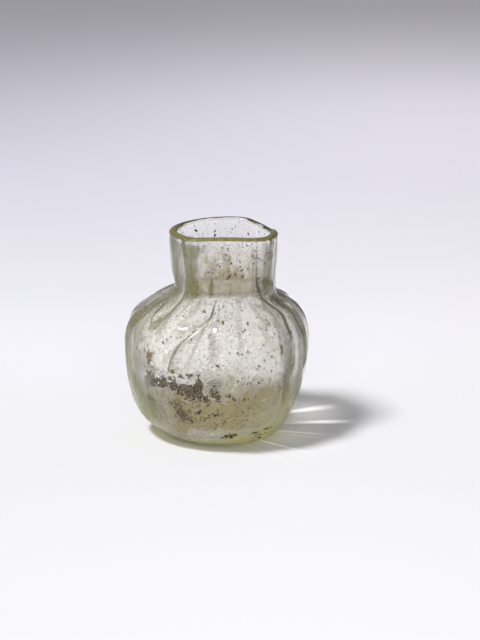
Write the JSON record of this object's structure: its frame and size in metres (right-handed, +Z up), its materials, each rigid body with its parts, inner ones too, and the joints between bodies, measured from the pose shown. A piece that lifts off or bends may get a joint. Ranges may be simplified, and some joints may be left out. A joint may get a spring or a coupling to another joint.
{
  "type": "glass jar",
  "caption": "Small ancient glass jar with a squat ribbed body, wide slightly crooked neck and rounded lip, empty and open at the mouth.",
  "frame": {"origin": "middle of the jar's box at the height of the resting ring under the base", "axes": "+Z up through the mouth, the flat front of the neck faces -Y, the neck leans to +X"},
  "size_m": [0.0614, 0.0614, 0.0697],
  "materials": {
    "weathered_glass": "pale green-grey blown glass, clear at the neck, hazed and specked with burial dirt inside the body, yellow-green where it is thick"
  },
  "bodies": {
    "root": {"glass_jar": "weathered_glass"}
  },
  "joints": []
}
